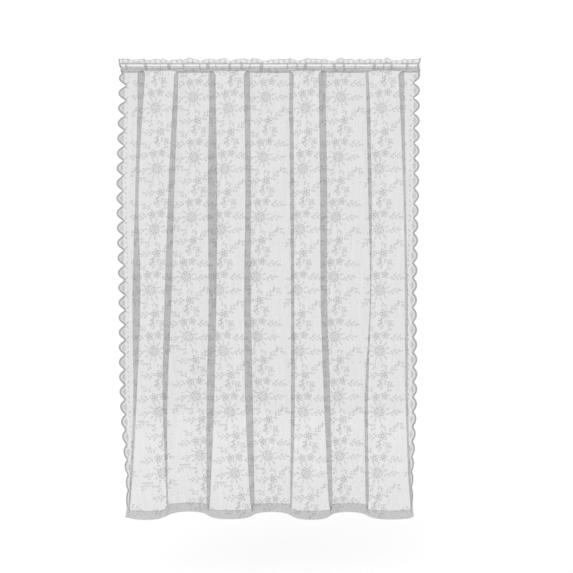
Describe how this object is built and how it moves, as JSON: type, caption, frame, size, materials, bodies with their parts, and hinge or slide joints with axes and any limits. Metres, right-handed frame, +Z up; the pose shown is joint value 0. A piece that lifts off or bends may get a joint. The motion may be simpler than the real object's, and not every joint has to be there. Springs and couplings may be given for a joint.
{
  "type": "lace curtain on a rod",
  "caption": "Sheer lace curtain gathered on a slim rod, with a small frill over the casing, soft hanging folds, scalloped sides and a turned-up hem.",
  "frame": {"origin": "middle of the rod, on its centre line", "axes": "+X along the rod to the right as seen from the front, +Y away from the viewer, +Z up"},
  "size_m": [1.0581, 0.0704, 1.582],
  "materials": {
    "lace": "sheer machine-made polyester lace net, matt",
    "white_paint": "satin white"
  },
  "bodies": {
    "root": {"lace_panel": "lace", "rod": "white_paint"}
  },
  "joints": []
}
